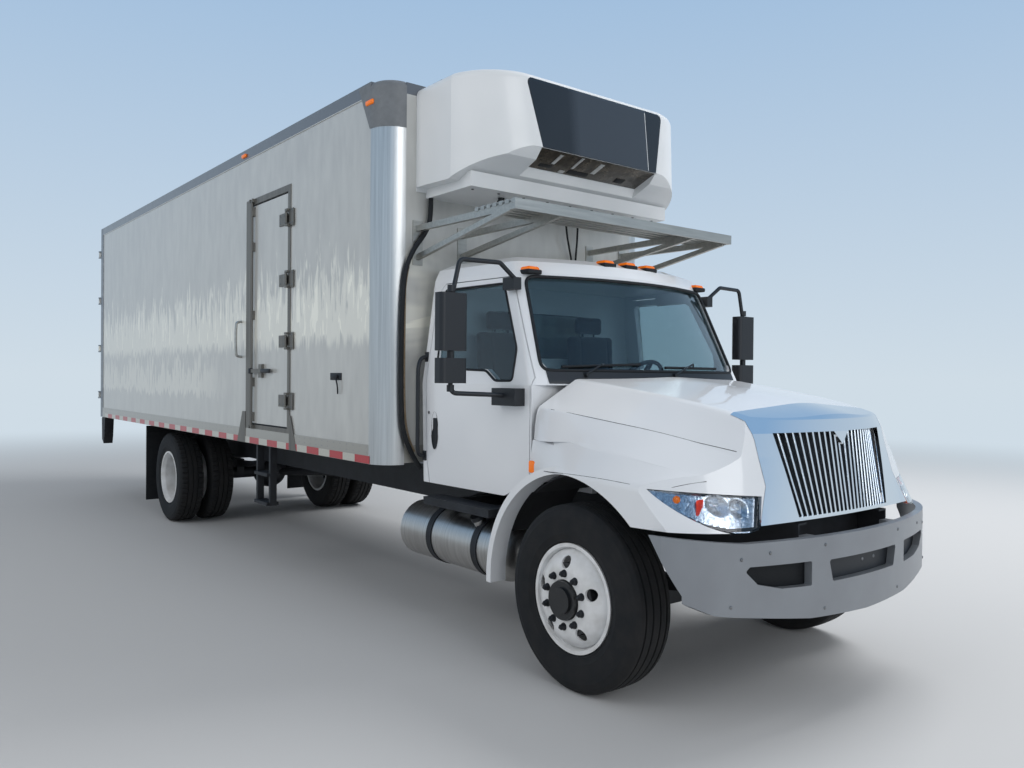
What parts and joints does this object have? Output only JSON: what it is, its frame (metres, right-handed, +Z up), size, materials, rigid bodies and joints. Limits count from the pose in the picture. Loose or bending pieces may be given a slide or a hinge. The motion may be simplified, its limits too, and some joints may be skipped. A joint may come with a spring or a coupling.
{
  "type": "refrigerated truck",
  "caption": "Refrigerated delivery truck: conventional cab with tilting hood, insulated box with side and rear doors, nose-mounted cooling unit and folded lift gate",
  "frame": {"origin": "on the ground below the middle of the whole truck", "axes": "X forward along the truck, Y to the driver's left, Z up"},
  "size_m": [10.94, 2.98, 3.763],
  "materials": {
    "white_paint": "gloss",
    "white_sheet": "satin",
    "anodised": "satin",
    "bright": "mirror polish",
    "grey_paint": "satin",
    "black_paint": "satin",
    "black_plastic": "matt",
    "dark_panel": "gloss",
    "engine_metal": "matt",
    "exhaust_metal": "satin",
    "lens": "clear",
    "pane": "clear",
    "amber_lens": "gloss",
    "seat_cloth": "woven",
    "soft_rubber": "matt",
    "tyre_rubber": "matt"
  },
  "bodies": {
    "chassis": {"frame": "black_paint", "suspension": "black_paint", "engine": "engine_metal", "radiator": "black_paint", "exhaust": "exhaust_metal", "fuel_tank": "anodised", "tank_mounts": "black_paint", "battery_box": "black_paint", "cab_shell": "white_paint", "cab_glass": "pane", "dashboard": "black_plastic", "seats": "seat_cloth", "bumper": "grey_paint", "box_floor": "anodised", "box_side_left": "white_sheet", "box_side_right": "white_sheet", "box_front": "white_sheet", "box_roof": "white_sheet", "corner_posts": "anodised", "corner_caps": "grey_paint", "rear_frame": "anodised", "rear_hinge_lugs": "anodised", "splash_guards": "black_plastic", "side_door_frame": "anodised", "side_ladder": "anodised", "reefer_shell": "white_sheet", "reefer_face": "dark_panel", "catwalk": "anodised", "hoses": "soft_rubber", "mudflaps": "soft_rubber", "lamps": "amber_lens", "liftgate": "black_paint", "rear_guards": "black_paint"},
    "hood_assembly": {"hood": "white_paint", "grille": "bright", "headlamps": "lens", "wheel_liners": "black_plastic"},
    "cab_door_left_assembly": {"cab_door_left": "white_paint", "door_glass_left": "pane", "mirror_left": "black_plastic"},
    "cab_door_right_assembly": {"cab_door_right": "white_paint", "door_glass_right": "pane", "mirror_right": "black_plastic"},
    "side_door_leaf": {"side_door": "white_sheet", "side_door_hardware": "anodised"},
    "rear_door_left_leaf": {"rear_door_left": "white_sheet"},
    "rear_door_right_leaf": {"rear_door_right": "white_sheet"},
    "knuckle_left_body": {"knuckle_left": "black_paint"},
    "knuckle_right_body": {"knuckle_right": "black_paint"},
    "tie_rod_body": {"tie_rod": "black_paint"},
    "front_wheel_left": {"tyre_front_left": "tyre_rubber", "rim_front_left": "white_paint"},
    "front_wheel_right": {"tyre_front_right": "tyre_rubber", "rim_front_right": "white_paint"},
    "rear_wheels_left": {"tyres_rear_left": "tyre_rubber", "rims_rear_left": "white_paint"},
    "rear_wheels_right": {"tyres_rear_right": "tyre_rubber", "rims_rear_right": "white_paint"}
  },
  "joints": [
    {"name": "hood_tilt", "type": "hinge", "parent": "chassis", "child": "hood_assembly", "pos_m": [5.38, 0, 0.64], "axis": [0, 1, 0], "range_deg": [0, 60]},
    {"name": "cab_door_left_swing", "type": "hinge", "parent": "chassis", "child": "cab_door_left_assembly", "pos_m": [3.89, 0.995, 1.6], "axis": [0, 0, -1], "range_deg": [0, 70]},
    {"name": "cab_door_right_swing", "type": "hinge", "parent": "chassis", "child": "cab_door_right_assembly", "pos_m": [3.89, -0.995, 1.6], "axis": [0, 0, 1], "range_deg": [0, 70]},
    {"name": "side_door_swing", "type": "hinge", "parent": "chassis", "child": "side_door_leaf", "pos_m": [1.13, -1.318, 2.2], "axis": [0, 0, 1], "range_deg": [0, 178]},
    {"name": "rear_door_left_swing", "type": "hinge", "parent": "chassis", "child": "rear_door_left_leaf", "pos_m": [-5.388, 1.303, 2.4], "axis": [0, 0, -1], "range_deg": [0, 270]},
    {"name": "rear_door_right_swing", "type": "hinge", "parent": "chassis", "child": "rear_door_right_leaf", "pos_m": [-5.388, -1.303, 2.4], "axis": [0, 0, 1], "range_deg": [0, 270]},
    {"name": "steer_right", "type": "hinge", "parent": "chassis", "child": "knuckle_right_body", "pos_m": [4.38, -0.88, 0.51], "axis": [0, 0, 1], "range_deg": [-37, 37]},
    {"name": "steer_left", "type": "hinge", "parent": "chassis", "child": "knuckle_left_body", "pos_m": [4.38, 0.88, 0.51], "axis": [0, 0, 1], "range_deg": [-37, 37]},
    {"name": "tie_rod_swing", "type": "hinge", "parent": "knuckle_right_body", "child": "tie_rod_body", "pos_m": [4.21, -0.88, 0.403], "axis": [0, 0, 1], "range_deg": [-37, 37]},
    {"name": "front_wheel_right_spin", "type": "hinge", "parent": "knuckle_right_body", "child": "front_wheel_right", "pos_m": [4.38, -0.965, 0.51], "axis": [0, 1, 0], "continuous": true},
    {"name": "front_wheel_left_spin", "type": "hinge", "parent": "knuckle_left_body", "child": "front_wheel_left", "pos_m": [4.38, 0.965, 0.51], "axis": [0, 1, 0], "continuous": true},
    {"name": "rear_wheels_right_spin", "type": "hinge", "parent": "chassis", "child": "rear_wheels_right", "pos_m": [-2.38, -0.925, 0.51], "axis": [0, 1, 0], "continuous": true},
    {"name": "rear_wheels_left_spin", "type": "hinge", "parent": "chassis", "child": "rear_wheels_left", "pos_m": [-2.38, 0.925, 0.51], "axis": [0, 1, 0], "continuous": true}
  ],
  "couplings": [
    {"joint": "steer_left", "follows": "steer_right", "ratio": 1},
    {"joint": "tie_rod_swing", "follows": "steer_right", "ratio": -1}
  ]
}
